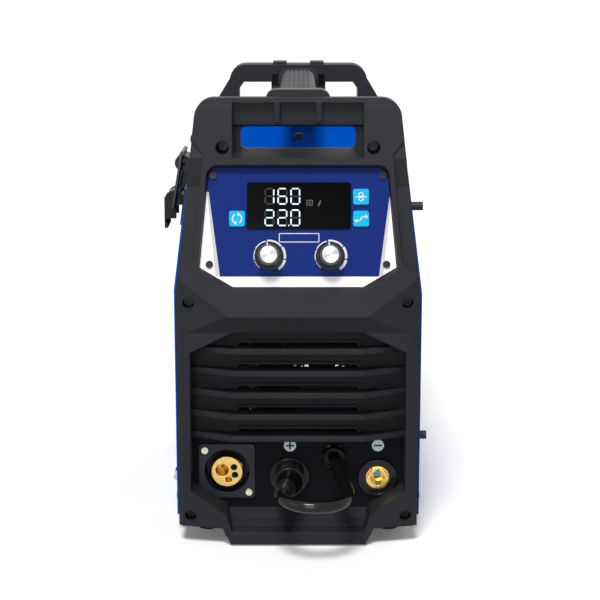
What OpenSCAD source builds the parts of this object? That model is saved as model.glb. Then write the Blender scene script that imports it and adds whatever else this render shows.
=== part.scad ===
// Portable MIG welding machine: moulded front and rear bezels, a painted steel case with a
// side door over the wire bay, a leaning control panel and a recessed connector bay.
// Millimetres. X is the width, +Y runs from the nose to the rear, Z is up from the floor.

/* [Case] */
// Width over the painted side walls
case_w = 227; // [215:1:240]
// Height of the painted top above the floor
case_h = 350; // [346:1:352]
// Width between the two upper corners of the case
top_w = 198; // [190:1:204]
// Height at which the side walls begin to lean in
shoulder_z = 228; // [222:1:234]
// Length of the painted cover
case_len = 346; // [340:1:360]
// Thickness of the sheet steel
sheet = 1.2; // [1:0.1:1.4]
// Radius of the upper corners of the case
case_r = 12; // [8:1:14]
// Gap between fixed parts that seat in each other
seat = 0.3; // [0.2:0.05:0.35]

/* [Front bezel] */
// Distance from the nose to the front edge of the painted cover
case_front = 42; // [41:1:46]
// Width of the front bezel
bezel_w = 219; // [216:1:220]
// Height of the top of the head above the floor
head_h = 405; // [403:1:408]
// Width of the head just under its corners
head_w = 187; // [184:1:190]
// Distance from the nose to the back of the head
head_back = 76; // [72:1:80]
// Height of the nose line
nose_z = 215; // [213:1:217]
// Angle by which the control face leans back
lean = 16; // [15.5:0.25:16.5]
// Wall thickness of the moulded bezels
wall = 3; // [2.5:0.25:3.5]
// Gap between the floor and the lip
lip_z = 2; // [1.5:0.5:3]
// Height of the lower edge of the bezels beside the lip
skirt_z = 17; // [16:0.5:18]

/* [Control panel] */
// Depth of the panel plate below the bezel face
panel_d = 7.7; // [7:0.1:8.5]
// Thickness of the panel plate
plate_t = 2; // [1.5:0.25:2.5]
// Width of the display lens
lens_w = 93.4; // [88:0.2:96]
// Height of the display lens
lens_h = 42.4; // [40:0.2:43]
// Side of a square button
button_w = 14.2; // [12:0.2:15]
// Travel of a button
button_travel = 0.8; // [0.5:0.1:1]
// Radius of a knob skirt
knob_r = 12.8; // [12:0.2:14]
// Height of a knob
knob_h = 17; // [15:0.5:20]

/* [Grille and connector bay] */
// Number of louvre blades
blades = 5; // [4:1:5]
// Spacing of the louvre blades
blade_pitch = 20.4; // [19.5:0.1:20.5]
// Height of the front face of a blade
blade_t = 5; // [3.5:0.1:5]
// Depth of the connector plate behind the nose
conn_y = 38; // [37.5:0.25:38.5]
// Radius of the brass body of the torch connector
euro_r = 15.8; // [15:0.1:16.5]
// Radius of the torch pin bore
torch_bore_r = 6; // [5.8:0.05:6.2]
// Radius of the flange of a current socket
socket_r = 18; // [17:0.5:18.5]
// Radius of the bore of a current socket
socket_bore_r = 6.7; // [6.5:0.05:6.8]
// Diameter of the polarity lead
lead_d = 11.5; // [10.5:0.25:12]

/* [Handle] */
// Width of the hand grip
grip_w = 36; // [32:1:40]
// Height of the hand grip
grip_h = 24; // [20:1:26]
// Height of the top of the hand grip above the floor
grip_top = 410; // [408:0.5:411]

/* [Rear] */
// Length of the rear bezel behind the cover
rear_len = 42; // [36:1:48]
// Height of the top of the rear hoop above the floor
hoop_h = 415; // [413:0.5:418]
// Radius of the fan opening
fan_r = 54; // [50:1:57]
// Distance that the mains gland stands out of the rear
gland_out = 24; // [18:1:26]

/* [Feet and door] */
// Height of a rubber foot
foot_h = 16; // [14:0.5:17]
// Radius of a rubber foot
foot_r = 11; // [9:0.5:13]
// Height of the top edge of the side door
door_top = 300; // [290:1:304]
// Radius of the hinge pin
hinge_pin_r = 1.5; // [1.4:0.05:1.8]

/* [Hidden] */
$fn = 40;

half_w = case_w / 2;
half_top = top_w / 2;
corner_z = case_h - case_r;
case_back = case_front + case_len;
rear_y = case_back + rear_len;
hood_y = case_back + seat;
overall_depth = rear_y + gland_out;
running = 0.06;
panel_back = panel_d + plate_t;
tray_z = foot_h;
door_bottom = 42;
door_front = case_front + 18;
door_rear = case_back - 18;
door_proud = 1.5;
hinge_x = -half_w - 3.6;
hinge_z = 38;
hinge_barrel_r = 3.2;

// ---- shared shapes -------------------------------------------------------------------------

module place() translate([0, -overall_depth / 2, 0]) children();

// a flat shape in width and height, from one depth to another
module along_y(y0, y1) translate([0, y1, 0]) rotate([90, 0, 0]) linear_extrude(y1 - y0) children();

// a flat shape in depth and height, from one width to another
module along_x(x0, x1) translate([x0, 0, 0]) rotate([90, 0, 90]) linear_extrude(x1 - x0) children();

module rod_y(r, y0, y1, x, z) translate([x, y0, z]) rotate([-90, 0, 0]) cylinder(r = r, h = y1 - y0);

module rod_x(r, x0, x1, y, z) translate([x0, y, z]) rotate([0, 90, 0]) cylinder(r = r, h = x1 - x0);

// a turned shape whose profile holds [radius, distance towards the rear]
module turned_y(x, y, z) translate([x, y, z]) rotate([-90, 0, 0]) rotate_extrude() children();

// the leaning face: X across, Y up the slope from the nose, Z out of the face
module on_face(x = 0, s = 0, d = 0)
    translate([0, 0, nose_z]) rotate([90 - lean, 0, 0]) translate([x, s, -d]) children();

module block(x0, x1, y0, y1, z0, z1) translate([x0, y0, z0]) cube([x1 - x0, y1 - y0, z1 - z0]);

module round_rect(w, h, r) {
    square([w - 2 * r, h], center = true);
    square([w, h - 2 * r], center = true);
    for (x = [-1, 1], y = [-1, 1]) translate([x * (w / 2 - r), y * (h / 2 - r)]) circle(r = r);
}

function mirrored(right) = concat(right, [for (i = [len(right) - 1:-1:0]) [-right[i][0], right[i][1]]]);
function arc(x, y, r, a0, a1, n = 6) =
    [for (i = [0:n]) [x + r * cos(a0 + (a1 - a0) * i / n), y + r * sin(a0 + (a1 - a0) * i / n)]];

// half width of the case at a height
function case_x(z) =
    z < shoulder_z ? half_w : half_w - (half_w - half_top) * (z - shoulder_z) / (corner_z - shoulder_z);

// outline of the case, set in by t
function case_outline(t, low = tray_z) = let (r = max(case_r - t, 2), c = max(t + 2, case_r)) mirrored(concat(
    [[half_w - t, low], [half_w - t, shoulder_z]],
    arc(half_top - c, case_h - c, r, 8, 90)));

// outline of a bezel, set in by t
bezel_half = bezel_w / 2;
head_half = head_w / 2;
head_r = 17;
function bezel_outline(t) = mirrored(concat(
    [[bezel_half - t, skirt_z + t], [bezel_half - t, shoulder_z + 8]],
    arc(head_half - head_r, head_h - head_r, head_r - t, 6, 90, 8)));

// ---- front bezel ---------------------------------------------------------------------------

nose_half = 61;
nose_step = 1.2;
bay_top = 199.5;
bay_low = 13.5;
crown_z = head_h - 7;
side_screws = [for (x = [-1, 1]) [x * (bezel_w / 2 - 11.5), 226.8]];
foot_screws = [for (x = [-1, 1]) [x * (bezel_w / 2 - 11), skirt_z + 10]];
head_screws = [for (x = [-1, 1]) [x * (head_w / 2 - 25.5), head_h - 43.4]];
screw_seat_y = 21;
head_seat_y = 66;
cross_y = 62;
hand_z = 368.5;
hand_h = 20;
first_blade = 98.2;
panel_screw_at = [[-76.2, 128.6], [76.2, 128.6], [-79.3, 48.5], [79.3, 48.5]];

function face_y(z) = (z - nose_z) * tan(lean);

// front view of the bay, set out by t
function bay_outline(t) = mirrored([
    [60.4 + t * 0.6, bay_low - t], [66 + t, 29.5 - t * 0.5], [98.2 + t, 50.5 - t * 0.5],
    [97.2 + t, 181 + t * 0.5], [59.2 + t * 0.5, bay_top + t]]);

// control window on the leaning face, set out by t, with its lower edge dropped by sill
function window_outline(t, sill = 0) = mirrored(concat(
    [[58.5 + t * 0.6, 28 - t - sill], [88.4 + t, 45.6 - t * 0.5 - sill * 0.6]],
    arc(72.1, 127, 9 + t, 5, 90)));

// everything behind the front surfaces when those are set back by t
module bezel_mass(t, back) intersection() {
    along_y(-1, back) union() {
        polygon(bezel_outline(t));
        if (t == 0)
            polygon(mirrored([[61.5, lip_z], [69, skirt_z], [69, skirt_z + 20]]));
    }
    along_x(-half_w, half_w) polygon([
        [nose_step + t, -5], [nose_step + t, 30], [8 + t, 54], [8 + t, bay_top],
        [nose_step + t, nose_z - 1], [nose_step + t, nose_z], [t, nose_z], [face_y(crown_z) + t, crown_z],
        [face_y(crown_z) + t + 9, head_h + 1], [back, head_h + 1], [back, -5]]);
    linear_extrude(head_h + 2) polygon(mirrored([
        [nose_half, t], [105, 9 + t], [111, 14 + t], [half_w + 2, 18 + t], [half_w + 2, back]]));
}

// the stepped flanks beside the control face
module flank_steps(depth, t) for (m = [0, 1]) mirror([m, 0, 0]) intersection() {
    on_face(d = 30) linear_extrude(62) polygon([[85.5 - t, 146.5 + t], [96, 159.5 + t], [130, 165 + t],
        [130, 40 - t], [104, 42 - t], [97 - t, 45 - t], [92.6 - t, 52]]);
    // its floor leans with the face, then stands upright in front of the case, then leans again over it
    along_x(80, 132) polygon([[-40, 200], [face_y(200) + depth / cos(lean), 200], [40.5 + t, 327],
        [40.5 + t, 353], [46.5 + t, 368], [46.5 + t, 400], [-40, 400]]);
}

// one louvre blade, bent back at both ends
module blade(z) intersection() {
    union() {
        intersection() {
            along_x(-99, 99) polygon([[8, z + 1], [8, z + 3.4], [33, z + 2.6], [33, z + 0.4]]);
            translate([0, 0, 60]) linear_extrude(150)
                polygon(mirrored([[59, 8], [98.5, 26.2], [98.5, 40], [57, 33]]));
        }
        translate([0, 0, z]) linear_extrude(blade_t)
            polygon(mirrored([[59.6, 6], [98.5, 24], [98.5, 27.2], [59, 9.2]]));
    }
    along_y(0, 60) polygon(bay_outline(1));
}

// upright wall behind the blades with a rimmed air slot over each blade
module louvre_wall() {
    difference() {
        intersection() {
            translate([0, 0, first_blade]) linear_extrude(110) polygon(mirrored([
                [57, 30], [98.5, 34.5], [98.5, 37.5], [57, 33]]));
            along_y(0, 60) polygon(bay_outline(1));
        }
        for (i = [0:blades - 1]) slot_shape(i, 0, 25, 40);
    }
    for (i = [0:blades - 1]) difference() {
        slot_shape(i, 2.8, 27.4, 30.5);
        slot_shape(i, 0, 27, 32);
    }
}

module slot_shape(i, t, y0, y1) let (z = first_blade + i * blade_pitch)
    along_y(y0, y1) polygon(mirrored([[55.8 + t, z + 2.7], [53 + t * 0.5, z + 5.8 + t]]));

module front_bezel() color("#26272b") difference() {
    union() {
        difference() {
            union() {
                bezel_mass(0, case_front);
                intersection() {
                    bezel_mass(0, head_back);
                    block(-half_w, half_w, case_front - 1, head_back, case_h + seat, head_h + 2);
                }
            }
            // hollow behind the skin
            difference() {
                intersection() {
                    bezel_mass(wall, case_front + 1);
                    block(-half_w, half_w, 0, case_front + 1, skirt_z + wall, case_h - wall);
                }
                flank_steps(8 + wall, wall);
            }
            along_y(-2, conn_y) polygon(bay_outline(0));
            block(-57, 57, 4.2, case_front + 1, -1, bay_low - wall);
        }
        // rim and tongue that the cover slides over
        along_y(case_front - 2, case_front) difference() {
            polygon(case_outline(sheet + seat, 18));
            polygon(case_outline(sheet + seat + 8, 17));
        }
        along_y(case_front - 1, case_front + 16) difference() {
            polygon(case_outline(sheet + seat, 18));
            polygon(case_outline(sheet + seat + 2.6, 17));
        }
        // ledge that carries the control panel
        intersection() {
            bezel_mass(0, 90);
            block(-half_w, half_w, 0, 90, nose_z - 5, case_h - wall + 1);
            on_face(d = panel_back + 4) linear_extrude(panel_back + 4) polygon(window_outline(4, 4));
        }
        // walls and floor of the bay
        intersection() {
            bezel_mass(0, case_front);
            along_y(0, conn_y - seat) difference() {
                polygon(bay_outline(wall));
                polygon(bay_outline(0));
            }
        }
        along_x(-67, 67) polygon([
            [nose_step, bay_low - wall], [nose_step, bay_low], [14, bay_low + 1], [26, bay_low + 5],
            [conn_y - seat, bay_low + 12], [conn_y - seat, bay_low + 8]]);
        for (i = [0:blades - 1]) blade(first_blade + i * blade_pitch);
        louvre_wall();
        // bosses round the corner screws
        intersection() {
            bezel_mass(0, case_front);
            for (p = concat(side_screws, foot_screws)) rod_y(9, 0, case_front, p[0], p[1]);
        }
        // two ribs in the head recess under the handle root
        for (x = [-19, 19]) block(x - 2.5, x + 2.5, cross_y - 7, cross_y + 1, 383, head_h - 4);
    }
    // window of the control panel with a sloping sill, and the opening behind the plate
    hull() {
        on_face(d = -1) linear_extrude(0.1) polygon(window_outline(1.2, 5));
        on_face(d = panel_d - 0.1) linear_extrude(0.1) polygon(window_outline(0));
    }
    on_face(d = panel_back) linear_extrude(panel_back) polygon(window_outline(0));
    difference() {
        on_face(d = 40) linear_extrude(40) polygon(window_outline(-7));
        for (p = panel_screw_at) on_face(p[0], p[1], 40) cylinder(r = 6, h = 40);
    }
    for (p = panel_screw_at) on_face(p[0], p[1], panel_back + 30) cylinder(r = 1.6, h = 30);
    head_recess();
    flank_steps(8, 0);
    // hollow sides of the head, open to the rear
    for (m = [0, 1]) mirror([m, 0, 0]) along_y(60, head_back + 1)
        polygon([[61.5, 374], [83, 374], [81, 396], [61.5, 396]]);
    // room behind the bay walls for the corner of the torch flange and the rim of the minus socket
    block(euro_x - 26.3, euro_x + 26.3, conn_y - 3.3, conn_y + 1, euro_z - 26.3, euro_z + 26.3);
    rod_y(socket_r + 0.3, conn_y - 3.8, conn_y + 1, minus_at[0], minus_at[1]);
    // notches for the tabs of the cover
    for (p = side_screws) block(min(p[0], sign(p[0]) * 113), max(p[0], sign(p[0]) * 113),
        case_front, case_front + 20, p[1] - 8.5, p[1] + 8.5);
    for (p = concat(side_screws, foot_screws)) {
        rod_y(5.2, -1, screw_seat_y, p[0], p[1]);
        rod_y(2.3, 0, case_front + 20, p[0], p[1]);
    }
    for (p = head_screws) {
        rod_y(5.9, 20, head_seat_y, p[0], p[1]);
        rod_y(2.3, 20, head_back + 1, p[0], p[1]);
    }
}

// recess across the head, its sloping sill and the hand opening behind it
module head_recess() {
    difference() {
        block(-59.2, 59.2, 20, cross_y, hand_z - 3, head_h - 4);
        for (x = [-19, 19]) block(x - 2.5, x + 2.5, cross_y - 7, cross_y + 1, 383, head_h);
    }
    along_x(-59.2, 59.2) polygon([
        [face_y(351) - 3, 351.5], [head_back - 9, hand_z - hand_h / 2], [head_back - 9, hand_z + hand_h / 2],
        [cross_y, hand_z + hand_h / 2 + 2], [30, hand_z + 12]]);
    along_y(cross_y - 20, head_back + 1) translate([0, hand_z]) round_rect(105, hand_h, 5);
}

// ---- painted case --------------------------------------------------------------------------

tab_z = side_screws[0][1];
stud_y = [78, 340];
side_screw_y = [66, 215, 364];
vent_y = [for (i = [0:8]) 190 + i * 20];

module case_cover() color("#0c55c0") {
    difference() {
        along_y(case_front + seat, case_back) difference() {
            polygon(case_outline(0));
            polygon(case_outline(sheet, tray_z - 1));
        }
        // opening to the wire bay
        block(-half_w - 5, 0, door_front + 8, door_rear - 8, door_bottom + 8, door_top - 8);
        // air slots in the right wall
        for (y = vent_y, z = [60, 130]) along_x(half_w - 3, half_w + 3) translate([y, z + 25]) round_rect(6, 46, 2.9);
        // holes for the studs, the plug on top and the screws
        for (y = stud_y) {
            rod_x(2.6, half_w - 3, half_w + 3, y, 83.4);
            rod_x(2.6, 80, half_w + 3, y, 303.8);
        }
        translate([0, 225, case_h - 5]) cylinder(r = 2.6, h = 10);
        for (x = [-1, 1], y = side_screw_y) rod_x(2.2, x * half_w - 3, x * half_w + 3, y, 28);
    }
    // tabs behind the front bezel
    for (x = [-1, 1]) difference() {
        block(min(x * 91, x * (half_w - 0.6)), max(x * 91, x * (half_w - 0.6)),
            case_front + seat, case_front + seat + sheet, tab_z - 7, tab_z + 7);
        rod_y(2.3, case_front, case_front + 5, x * 98, tab_z);
    }
}

module base_tray() color("#3a3d42") difference() {
    union() {
        block(-half_w + sheet + seat, half_w - sheet - seat, case_front + seat, case_back - seat, tray_z, tray_z + sheet);
        for (x = [-1, 1]) translate([x * (half_w - sheet - seat - sheet / 2), 0, 0])
            block(-sheet / 2, sheet / 2, case_front + 17, case_back - 17, tray_z, tray_z + 22);
        // tabs for the two lower screws of each bezel
        for (x = [-1, 1], y = [case_front + seat, case_back - seat - sheet])
            block(x * 98.5 - 8, x * 98.5 + 8, y, y + sheet, tray_z, 36);
    }
    for (x = [-1, 1]) {
        rod_y(2.3, 0, rear_y, x * 98.5, 27);
        for (y = side_screw_y) rod_x(2.2, x * half_w - 8, x * half_w + 8, y, 28);
        for (y = foot_y) translate([x * foot_x, y, 0]) cylinder(r = 2.6, h = 30);
    }
}

foot_x = 85;
foot_y = [55, 366];

module rubber_feet() color("#18181a") for (x = [-foot_x, foot_x], y = foot_y) translate([x, y, 0])
    rotate_extrude() polygon([[4.5, 0], [foot_r - 1.5, 0], [foot_r - 0.6, 1.5], [foot_r, foot_h],
        [2.6, foot_h], [2.6, 7], [4.5, 7]]);

// a screw along Y with its head towards the front and a six sided socket
module screw_y(x, y, z, head_r, head_l, r, l) difference() {
    union() {
        rod_y(head_r, y, y + head_l, x, z);
        rod_y(r, y + head_l - 0.1, y + head_l + l, x, z);
    }
    translate([x, y + head_l * 0.6, z]) rotate([90, 0, 0]) linear_extrude(5) circle(r = head_r * 0.5, $fn = 6);
}

module bezel_screws() color("#101012") {
    for (p = concat(side_screws, foot_screws)) screw_y(p[0], screw_seat_y - 4.5, p[1], 4.4, 4.4, 2, 26, $fn = 24);
    for (p = head_screws) screw_y(p[0], head_seat_y - 4.5, p[1], 4.4, 4.4, 2, 14.6, $fn = 24);
    // rear screws, heads to the back
    for (p = rear_screws) translate([0, 2 * (rear_y - 6), 0]) mirror([0, 1, 0])
        screw_y(p[0], rear_y - 6 - 4.5, p[1], 4.4, 4.4, 2, 38.2, $fn = 24);
}

module case_studs() color("#131315") {
    for (y = stud_y) {
        rod_x(4, half_w, 122.2, y, 83.4);
        rod_x(2.3, half_w - 4, half_w + 1, y, 83.4);
        rod_x(4, case_x(300) + 0.1, 115.5, y, 303.8);
        rod_x(2.3, 97, 105, y, 303.8);
    }
    translate([0, 225, case_h]) cylinder(r = 4, h = 6);
    translate([0, 225, case_h - 4]) cylinder(r = 2.3, h = 5);
    for (x = [0, 1], y = side_screw_y) mirror([x, 0, 0]) {
        rod_x(4, half_w, half_w + 2, y, 28);
        rod_x(2, half_w - 6, half_w + 1, y, 28);
    }
}

// ---- side door and latches -----------------------------------------------------------------

hinge_y = [105, 325];
latch_y = [110, 320];
lever_x = -116;
lever_z = 308.6;
lever_r = 7;
bail_drop = 6;
keeper_x = -107.3;
keeper_z = 341.8;
keeper_r = 7.5;
bail_r = 1.8;

// a sheet that follows the left wall between two offsets outside it
module left_skin(t0, t1, y0, y1, z0, z1) intersection() {
    along_y(y0, y1) difference() {
        polygon(case_outline(-t1));
        polygon(case_outline(-t0, 0));
    }
    block(-half_w - 8, -60, y0, y1, z0, z1);
}

module side_door() color("#0c55c0") {
    left_skin(seat, seat + sheet, door_front, door_rear, door_bottom, door_top);
    // pressed stiffener round the middle of the door
    difference() {
        left_skin(seat + sheet - 0.2, seat + sheet + 1, door_front + 45, door_rear - 45, door_bottom + 45, 215);
        left_skin(seat, seat + sheet + 2, door_front + 51, door_rear - 51, door_bottom + 51, 209);
    }
    for (y = hinge_y) difference() {
        union() {
            rod_y(hinge_barrel_r, y - 5.7, y + 5.7, hinge_x, hinge_z);
            block(-half_w - seat - sheet, -half_w - seat, y - 5.7, y + 5.7, hinge_z, door_bottom + 8);
        }
        rod_y(hinge_pin_r + running, y - 8, y + 8, hinge_x, hinge_z);
    }
}

module door_hinges() color("#b9bdc2") for (y = hinge_y) {
    rod_y(hinge_pin_r, y - 18, y + 18, hinge_x, hinge_z);
    for (s = [-1, 1]) {
        rod_y(hinge_barrel_r, min(y + s * 6, y + s * 18), max(y + s * 6, y + s * 18), hinge_x, hinge_z);
        block(-half_w - 1.4, -half_w, min(y + s * 6, y + s * 18), max(y + s * 6, y + s * 18), 26, hinge_z);
        block(hinge_x - 1, -half_w, min(y + s * 6, y + s * 18), max(y + s * 6, y + s * 18), hinge_z - 3.2, hinge_z - 1.5);
    }
    block(-half_w - 1.4, -half_w, y - 18, y + 18, 26, hinge_z - 5);
}

module latch_keepers() color("#17181a") for (y = latch_y) difference() {
    union() {
        rod_y(keeper_r, y - 17, y + 17, keeper_x, keeper_z);
        left_skin(0, 3, y - 17, y + 17, 326, 340);
        block(keeper_x, -97.5, y - 17, y + 17, 334, 341.5);
    }
    along_y(y - 18, y + 18) polygon(case_outline(-0.05));
    rod_y(2.4, y - 20, y + 20, keeper_x, keeper_z);
}

module latch_bases() color("#17181a") for (y = latch_y) {
    difference() {
        left_skin(seat + sheet, seat + sheet + 3, y - 19, y + 19, 284, 318);
        for (s = [-1, 1]) rod_y(2, y + s * 17.5 - 3, y + s * 17.5 + 3, lever_x, lever_z - bail_drop);
    }
    difference() {
        union() {
            rod_y(lever_r, y - 14, y + 14, lever_x, lever_z);
            // its top stays low enough for the heel of the open lever
            block(lever_x, -104.8, y - 14, y + 14, lever_z - 6.5, lever_z + 3.2);
        }
        along_y(y - 20, y + 20) polygon(case_outline(-seat - sheet - 0.5));
        rod_y(2.8, y - 20, y + 20, lever_x, lever_z);
    }
    // the pivot ends between the cheeks of the lever and the arms of the bail
    rod_y(2.5, y - bail_y + bail_r + seat, y + bail_y - bail_r - seat, lever_x, lever_z);
    for (s = [-1, 1]) rod_y(2.9, min(y + s * 6, y + s * 12), max(y + s * 6, y + s * 12), lever_x, lever_z);
}

module latch_lever(y) color("#1f2023") difference() {
    union() {
        for (s = [-1, 1]) {
            rod_y(7.6, min(y + s * 14.6, y + s * 18.8), max(y + s * 14.6, y + s * 18.8), lever_x, lever_z);
            block(lever_x - 9, lever_x + 2, min(y + s * 14.6, y + s * 18.8), max(y + s * 14.6, y + s * 18.8), 290, lever_z);
        }
        block(lever_x - 9, lever_x - 7.4, y - 18.8, y + 18.8, 284, lever_z + 1);
        block(lever_x - 9, lever_x - 6, y - 18.8, y + 18.8, 281, 286);
    }
    rod_y(2.5 + running, y - 22, y + 22, lever_x, lever_z);
    for (s = [-1, 1]) rod_y(1.4 + running, min(y + s * 14, y + s * 20), max(y + s * 14, y + s * 20),
        lever_x, lever_z - bail_drop);
}

module latch_bail(y) color("#c6c9cd") {
    dx = keeper_x - lever_x;
    dz = keeper_z + keeper_r + 0.5 + bail_r - lever_z + bail_drop;
    for (s = [-1, 1]) {
        translate([lever_x, y + s * bail_y, lever_z - bail_drop]) rotate([0, atan2(dx, dz), 0])
            translate([0, 0, -2.2]) cylinder(r = bail_r, h = sqrt(dx * dx + dz * dz) + 2.2);
        rod_y(1.4, min(y + s * 15.5, y + s * bail_y), max(y + s * 15.5, y + s * bail_y), lever_x, lever_z - bail_drop);
    }
    rod_y(bail_r + 0.2, y - bail_y - 2.4, y + bail_y + 2.4, keeper_x, lever_z - bail_drop + dz);
}

bail_y = 21.4;

// ---- handle --------------------------------------------------------------------------------

grip_mid = grip_top - grip_h / 2;
grip_y0 = head_back + 22;
grip_y1 = case_back - 14;

module grip_profile() difference() {
    translate([0, grip_mid]) round_rect(grip_w, grip_h, 9);
    for (x = [-2:2]) translate([x * 4.6, grip_top]) circle(r = 0.9, $fn = 16);
    for (x = [-2:2]) translate([x * 4.6, grip_top - grip_h]) circle(r = 0.9, $fn = 16);
    for (x = [-1, 1], z = [-1:1]) translate([x * grip_w / 2, grip_mid + z * 4.2]) circle(r = 0.9, $fn = 16);
}

module handle_grip() color("#5b6066") difference() {
    along_y(grip_y0 + seat, grip_y1 - seat) grip_profile();
    along_y(grip_y0 - 1, grip_y1 + 1) translate([0, grip_mid]) round_rect(22 + 2 * seat, 10 + 2 * seat, 3);
}

module handle_mount() color("#222326") difference() {
    union() {
        // bracket across the back of the head
        along_y(head_back + seat, head_back + 4) difference() {
            polygon(mirrored([[78, 352.5], [78, 398], [72, 403]]));
            polygon(mirrored([[56, 350], [56, 381]]));
        }
        along_y(head_back + 3.5, grip_y0) translate([0, 397.5]) round_rect(60, 27, 10);
        along_y(grip_y0 - 1, grip_y1 + 1) translate([0, grip_mid]) round_rect(22, 10, 3);
        along_y(grip_y1, case_back) translate([0, 397]) round_rect(44, 28, 8);
    }
    for (p = head_screws) rod_y(2.3, head_back - 1, head_back + 8, p[0], p[1]);
}

// ---- control panel -------------------------------------------------------------------------

lens_s = 101.4;
lens_x = 0.8;
knob_s = 56.1;
knob_at = [-26, 28.9];
buttons = [[-54.7, 89.6], [56.6, 109.4], [56.6, 89.6]];
knob_d = panel_d - 0.4;

module panel_plate() color("#1c2f78") difference() {
    on_face(d = panel_back) linear_extrude(plate_t) polygon(window_outline(-seat));
    on_face(lens_x, lens_s, panel_back + 1) linear_extrude(plate_t + 2) square([lens_w - 4, lens_h - 3], center = true);
    for (b = buttons) on_face(b[0], b[1], panel_back + 1) linear_extrude(plate_t + 2)
        round_rect(button_w + 0.6, button_w + 0.6, 2.3);
    for (x = knob_at) on_face(x, knob_s, panel_back + 1) cylinder(r = 3.8, h = plate_t + 2);
    for (p = panel_screw_at) on_face(p[0], p[1], panel_back + 1) cylinder(r = 1.6, h = plate_t + 2);
}

module panel_screws() color("#c9ccd0") for (p = panel_screw_at) difference() {
    union() {
        on_face(p[0], p[1], panel_d) cylinder(r = 3.3, h = 1.6, $fn = 24);
        on_face(p[0], p[1], panel_d + 9) cylinder(r = 1.3, h = 9.1, $fn = 24);
    }
    on_face(p[0], p[1], panel_d - 0.8) for (a = [0, 90]) rotate([0, 0, a]) translate([0, 0, 1])
        cube([4.2, 0.9, 2], center = true);
}

module display_lens() color("#101218") on_face(lens_x, lens_s, panel_d) linear_extrude(1.2)
    round_rect(lens_w, lens_h, 2);

board_d = 12.8;
module display_board() color("#1c5a35") {
    on_face(0, lens_s, board_d + 1.6) linear_extrude(1.6) square([141, 46], center = true);
    for (s = [91.2, 110.2]) on_face(-13.5, s, board_d) linear_extrude(board_d - panel_d - 0.5)
        square([39, 17.4], center = true);
    on_face(28, 100.6, board_d) linear_extrude(board_d - panel_d - 0.6) square([30, 30], center = true);
    for (b = buttons) on_face(b[0], b[1], board_d) linear_extrude(0.8) square([6, 6], center = true);
    for (x = [-1, 1], s = [-1, 1]) on_face(x * 67.6, lens_s + s * 20, board_d)
        cylinder(r = 2.2, h = board_d - panel_back, $fn = 24);
}

module button(b) color("#1fa9df") {
    on_face(b[0], b[1], panel_back + 0.4) linear_extrude(plate_t + 2.4) round_rect(button_w, button_w, 2);
    on_face(b[0], b[1], panel_back + 0.2 + 1) linear_extrude(1) square([button_w + 2.2, button_w + 2.2], center = true);
}

module knob(x) color("#17181b") difference() {
    union() {
        on_face(x, knob_s, knob_d) rotate_extrude() polygon([[0, 0], [knob_r, 0], [knob_r, 2], [knob_r - 1.6, 3],
            [knob_r - 2.2, knob_h - 1.2], [knob_r - 3.2, knob_h], [0, knob_h]]);
        on_face(x, knob_s, panel_d + 9) cylinder(r = 3, h = 10, $fn = 32);
    }
    on_face(x, knob_s, knob_d - knob_h + 0.9) cylinder(r = 7.8, h = 5);
    for (a = [0:30:330]) on_face(x, knob_s, knob_d - 4) rotate([0, 0, a]) translate([knob_r - 1.1, 0, 0])
        cylinder(r = 1.2, h = 20, $fn = 16);
}

module knob_cap(x) color("#d5d8db") difference() {
    on_face(x, knob_s, knob_d - knob_h + 0.9) cylinder(r = 7.5, h = 1.1);
    on_face(x, knob_s, knob_d - knob_h + 0.2) translate([0, 4.4, 0.5]) cube([1, 5, 1], center = true);
}

module potentiometers() color("#6d7177") for (x = knob_at) difference() {
    union() {
        on_face(x, knob_s, panel_back + 9) cylinder(r = 8.5, h = 9);
        on_face(x, knob_s, panel_back) cylinder(r = 3.5, h = plate_t - 0.5);
        on_face(x, knob_s, panel_back + 9.6) translate([-4, -13.5, 0]) cube([8, 8, 1.6]);
    }
    on_face(x, knob_s, panel_back + 8) cylinder(r = 3 + running, h = 12, $fn = 32);
}

// ---- connector bay -------------------------------------------------------------------------

euro_x = -66.2;
euro_z = 61;
plus_at = [-8, 55.8];
minus_at = [74.2, 54.3];
gland_at = [33.4, 76];
plate_y = conn_y + 3;

module connector_plate() color("#1d1e22") difference() {
    along_y(conn_y, plate_y) polygon(mirrored([[72, 21], [103, 45], [103, 97.5]]));
    rod_y(24, conn_y - 1, plate_y + 1, euro_x, euro_z);
    for (p = [plus_at, minus_at]) rod_y(14.4, conn_y - 1, plate_y + 1, p[0], p[1]);
    rod_y(8.4, conn_y - 1, plate_y + 1, gland_at[0], gland_at[1]);
    for (p = euro_screw_at) rod_y(1.7, conn_y - 1, plate_y + 1, p[0], p[1]);
}

euro_screw_at = [[-86.6, 81.2], [-45.8, 40.8]];

module euro_flange() color("#141d33") difference() {
    union() {
        along_y(conn_y - 3, conn_y) translate([euro_x, euro_z]) round_rect(52, 52, 3);
        rod_y(23.6, conn_y - 1, 62, euro_x, euro_z);
    }
    rod_y(21, conn_y - 4, 58, euro_x, euro_z);
    rod_y(euro_r + 0.2, 50, 70, euro_x, euro_z);
    for (p = euro_screw_at) rod_y(1.7, conn_y - 4, conn_y + 1, p[0], p[1]);
}

torch_x = euro_x - 4.5;
torch_z = euro_z + 1.5;
contact_at = [[6.6, 4.3], [7.5, -3.2]];

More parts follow.
